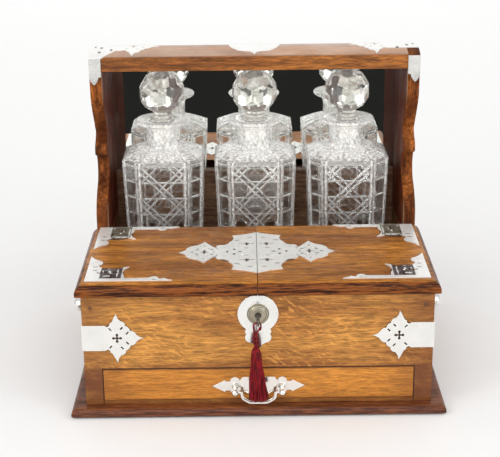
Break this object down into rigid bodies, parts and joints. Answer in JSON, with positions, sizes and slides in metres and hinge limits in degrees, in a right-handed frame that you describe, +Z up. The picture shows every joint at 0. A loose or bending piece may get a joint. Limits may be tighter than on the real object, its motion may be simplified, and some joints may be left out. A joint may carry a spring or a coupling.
{
  "type": "antique tantalus",
  "caption": "Oak spirit case: cut-glass decanters under a mirrored canopy, locked in place by side-hinged lids over a games compartment, with a drawer below.",
  "frame": {"origin": "middle of the underside of the case's moulded base, which stands on the table", "axes": "+Z up, -Y towards the front with the lock and drawer, +X to the right seen from the front"},
  "size_m": [0.389, 0.3151, 0.3328],
  "materials": {
    "oak": "waxed quartered oak",
    "dark_oak": "dark polished oak",
    "inner_wood": "polished mahogany",
    "silver_plate": "polished silver plate",
    "nickel": "worn nickel",
    "brass": "aged brass",
    "steel": "dull steel",
    "mirror": "silvered glass",
    "baize": "green baize",
    "silk": "crimson silk",
    "cut_glass": "cut lead glass"
  },
  "bodies": {
    "case": {"base_baize": "baize", "plinth": "dark_oak", "left_case_side": "oak", "right_case_side": "oak", "front_board": "oak", "front_plugs": "oak", "back_board": "oak", "floor_board": "inner_wood", "partition": "inner_wood", "decanter_deck": "inner_wood", "left_upright": "oak", "right_upright": "oak", "canopy_rail": "oak", "canopy_board": "oak", "mirror": "mirror", "mirror_apron": "dark_oak", "games_tray": "inner_wood", "drawer_runners": "inner_wood", "hinge_case_leaves": "brass", "hinge_pins": "steel", "lock_case": "brass", "lock_boss": "nickel", "escutcheon": "silver_plate", "front_straps": "silver_plate", "canopy_straps": "silver_plate", "upright_covers": "silver_plate", "canopy_cartouche": "silver_plate", "handle_posts": "silver_plate"},
    "left_lid": {"left_lid": "oak", "left_hinge_leaves": "brass", "left_lid_staple": "brass", "left_corner_mounts": "silver_plate", "left_centre_mount": "silver_plate"},
    "right_lid": {"right_lid": "oak", "right_hinge_leaves": "brass", "right_lid_staple": "brass", "right_corner_mounts": "silver_plate", "right_centre_mount": "silver_plate"},
    "drawer": {"drawer_front": "oak", "drawer_sides": "inner_wood", "drawer_back": "inner_wood", "drawer_bottom": "inner_wood", "drawer_plate": "silver_plate"},
    "drawer_bail": {"drawer_bail": "silver_plate"},
    "left_handle": {"left_handle_bail": "silver_plate"},
    "right_handle": {"right_handle_bail": "silver_plate"},
    "key": {"key": "steel", "lock_plug": "brass"},
    "lock_bolt": {"lock_bolt": "steel"},
    "tassel": {"tassel_cord": "silk", "tassel": "silk"},
    "left_decanter": {"left_decanter": "cut_glass"},
    "left_stopper": {"left_stopper": "cut_glass"},
    "middle_decanter": {"middle_decanter": "cut_glass"},
    "middle_stopper": {"middle_stopper": "cut_glass"},
    "right_decanter": {"right_decanter": "cut_glass"},
    "right_stopper": {"right_stopper": "cut_glass"}
  },
  "joints": [
    {"name": "left_lid_hinge", "type": "hinge", "parent": "case", "child": "left_lid", "pos_m": [-0.1751, -0.05575, 0.1242], "axis": [0, -1, 0], "range_deg": [0, 95]},
    {"name": "right_lid_hinge", "type": "hinge", "parent": "case", "child": "right_lid", "pos_m": [0.1751, -0.05575, 0.1242], "axis": [0, 1, 0], "range_deg": [0, 95]},
    {"name": "drawer_slide", "type": "slide", "parent": "case", "child": "drawer", "axis": [0, -1, 0], "range_m": [0, 0.15], "deforming": ["tassel", "tassel_cord"]},
    {"name": "drawer_bail_swing", "type": "hinge", "parent": "drawer", "child": "drawer_bail", "pos_m": [0, -0.14425, 0.0253], "axis": [-1, 0, 0], "range_deg": [0, 75]},
    {"name": "left_handle_swing", "type": "hinge", "parent": "case", "child": "left_handle", "pos_m": [-0.187, 0.00525, 0.077], "axis": [0, 1, 0], "range_deg": [0, 100]},
    {"name": "right_handle_swing", "type": "hinge", "parent": "case", "child": "right_handle", "pos_m": [0.187, 0.00525, 0.077], "axis": [0, -1, 0], "range_deg": [0, 100]},
    {"name": "key_turn", "type": "hinge", "parent": "case", "child": "key", "pos_m": [0, -0.13575, 0.1068], "axis": [0, 1, 0], "range_deg": [0, 90]},
    {"name": "bolt_slide", "type": "slide", "parent": "case", "child": "lock_bolt", "axis": [1, 0, 0], "range_m": [0, 0.005]},
    {"name": "tassel_swing", "type": "hinge", "parent": "case", "child": "tassel", "pos_m": [0, -0.15625, 0.1068], "axis": [-1, 0, 0], "range_deg": [0, 60]},
    {"name": "left_decanter_slide", "type": "slide", "parent": "case", "child": "left_decanter", "axis": [0, -1, 0], "range_m": [0, 0.006]},
    {"name": "left_stopper_lift", "type": "slide", "parent": "left_decanter", "child": "left_stopper", "axis": [0, 0, 1], "range_m": [0, 0.0095]},
    {"name": "middle_decanter_slide", "type": "slide", "parent": "case", "child": "middle_decanter", "axis": [0, -1, 0], "range_m": [0, 0.006]},
    {"name": "middle_stopper_lift", "type": "slide", "parent": "middle_decanter", "child": "middle_stopper", "axis": [0, 0, 1], "range_m": [0, 0.0095]},
    {"name": "right_decanter_slide", "type": "slide", "parent": "case", "child": "right_decanter", "axis": [0, -1, 0], "range_m": [0, 0.006]},
    {"name": "right_stopper_lift", "type": "slide", "parent": "right_decanter", "child": "right_stopper", "axis": [0, 0, 1], "range_m": [0, 0.0095]}
  ],
  "couplings": [
    {"joint": "bolt_slide", "follows": "key_turn", "m_per_rad": 0.0031831}
  ]
}
